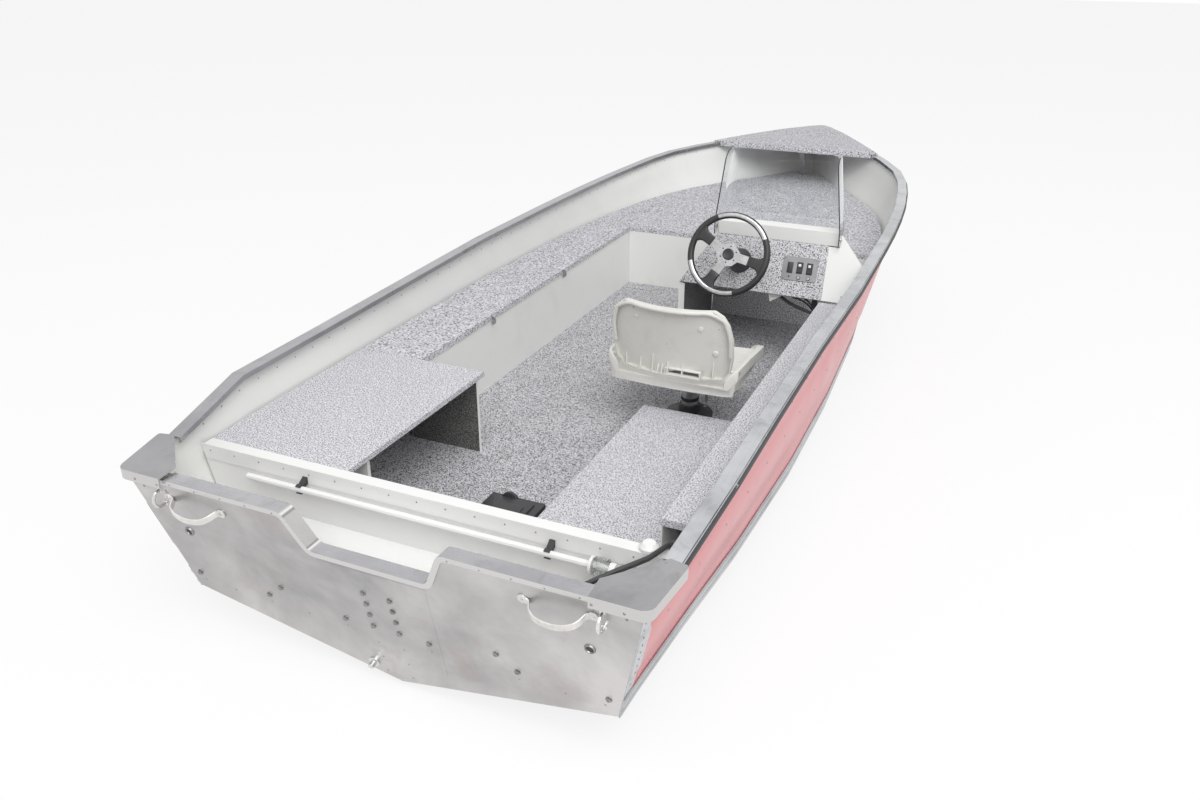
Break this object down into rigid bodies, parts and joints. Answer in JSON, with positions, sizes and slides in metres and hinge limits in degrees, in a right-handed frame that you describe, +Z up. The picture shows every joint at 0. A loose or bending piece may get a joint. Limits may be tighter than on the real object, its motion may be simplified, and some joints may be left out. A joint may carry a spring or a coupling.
{
  "type": "open aluminium boat with side console",
  "caption": "Open riveted aluminium boat with a V bottom, side console with wheel and windshield, pedestal seat, raised decks, bench and splashwell.",
  "frame": {"origin": "on the centreline, over the foot of the transom's outer face, at the waterline", "axes": "+X to starboard, +Y towards the bow, +Z up"},
  "size_m": [1.876, 5.7142, 1.229],
  "materials": {
    "mill_aluminium": "brushed mill finish, mottled",
    "cast_aluminium": "satin cast",
    "red_paint": "gloss red enamel",
    "white_paint": "satin white",
    "speckled_vinyl": "grey marine vinyl with dark and light flecks",
    "black_plastic": "satin black",
    "moulded_seat": "satin light grey moulding",
    "polished_steel": "polished stainless steel",
    "clear_acrylic": "clear acrylic",
    "anodised_panel": "grey brushed panel"
  },
  "bodies": {
    "hull": {"aft_platform": "speckled_vinyl", "battery_tray": "black_plastic", "bench_leg_aft": "white_paint", "bench_leg_forward": "white_paint", "bow_brace": "mill_aluminium", "bow_cap": "cast_aluminium", "bow_eye": "polished_steel", "bow_plate": "speckled_vinyl", "casting_bulkhead": "white_paint", "casting_deck": "speckled_vinyl", "chine_rail_port": "mill_aluminium", "chine_rail_starboard": "mill_aluminium", "console_cheek": "white_paint", "console_front": "white_paint", "console_wing": "white_paint", "corner_casting_port": "cast_aluminium", "corner_casting_starboard": "cast_aluminium", "dash_panel": "speckled_vinyl", "drain_plug": "polished_steel", "floor": "speckled_vinyl", "gunwale_port": "mill_aluminium", "gunwale_starboard": "mill_aluminium", "handle_port": "cast_aluminium", "handle_starboard": "cast_aluminium", "helm_bezel": "black_plastic", "helm_box": "black_plastic", "hull_bottom": "mill_aluminium", "hull_side_port": "red_paint", "hull_side_starboard": "red_paint", "keel": "mill_aluminium", "light_globe": "clear_acrylic", "light_pole": "white_paint", "light_socket": "white_paint", "pedestal_base": "black_plastic", "pedestal_post": "mill_aluminium", "pole_clip_1": "black_plastic", "pole_clip_2": "black_plastic", "port_bench": "speckled_vinyl", "port_shelf": "speckled_vinyl", "port_wall": "white_paint", "shelf_cleat": "white_paint", "splashwell_bulkhead": "white_paint", "splashwell_pan": "white_paint", "splashwell_trim": "white_paint", "starboard_shelf": "speckled_vinyl", "starboard_shelf_panel": "white_paint", "steering_cable": "black_plastic", "stern_eye_port": "polished_steel", "stern_eye_starboard": "polished_steel", "switch_panel": "anodised_panel", "transom": "mill_aluminium", "transom_cap": "mill_aluminium", "windshield": "clear_acrylic"},
    "steering_wheel": {"wheel_rim": "black_plastic", "wheel_spider": "cast_aluminium", "wheel_hub": "black_plastic", "wheel_boss": "black_plastic"},
    "seat": {"seat_plate": "mill_aluminium", "seat_pan": "moulded_seat"},
    "seat_back": {"seat_back": "moulded_seat"}
  },
  "joints": [
    {"name": "steering", "type": "hinge", "parent": "hull", "child": "steering_wheel", "pos_m": [0.301, 2.26, 0.62], "axis": [0, -0.9183, 0.3958], "range_deg": [-540, 540]},
    {"name": "seat_swivel", "type": "hinge", "parent": "hull", "child": "seat", "pos_m": [0.33, 1.71, 0.275], "axis": [0, 0, 1], "continuous": true},
    {"name": "back_fold", "type": "hinge", "parent": "seat", "child": "seat_back", "pos_m": [0.33, 1.478, 0.395], "axis": [-1, 0, 0], "range_deg": [0, 85]}
  ]
}
